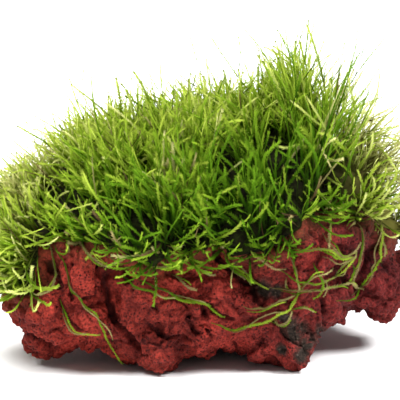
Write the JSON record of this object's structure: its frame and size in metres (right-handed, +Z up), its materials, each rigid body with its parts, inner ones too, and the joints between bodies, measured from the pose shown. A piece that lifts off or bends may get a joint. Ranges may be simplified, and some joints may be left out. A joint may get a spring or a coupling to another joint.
{
  "type": "moss on stone",
  "caption": "Aquarium moss grown as a thick upright mat over the top and ends of a lobed red lava rock, with single shoots trailing over its bare front.",
  "frame": {"origin": "under the middle of the object, on the surface that the stone rests on", "axes": "+X to the right along the object's length, +Y to the back, +Z up"},
  "size_m": [0.1668, 0.1064, 0.1124],
  "materials": {
    "stone": "rough, dull, porous",
    "moss": "soft, leafy, slightly wet",
    "young_shoots": "soft, leafy, slightly wet"
  },
  "bodies": {
    "root": {"stone": "stone", "moss_mat": "moss", "trailing_shoot_01": "young_shoots", "trailing_shoot_02": "young_shoots", "trailing_shoot_03": "young_shoots", "trailing_shoot_04": "young_shoots", "trailing_shoot_05": "young_shoots", "trailing_shoot_06": "young_shoots", "trailing_shoot_07": "young_shoots", "trailing_shoot_08": "young_shoots", "trailing_shoot_09": "young_shoots", "trailing_shoot_10": "young_shoots", "trailing_shoot_11": "young_shoots", "trailing_shoot_12": "young_shoots", "trailing_shoot_13": "young_shoots", "trailing_shoot_14": "young_shoots", "trailing_shoot_15": "young_shoots"}
  },
  "joints": []
}
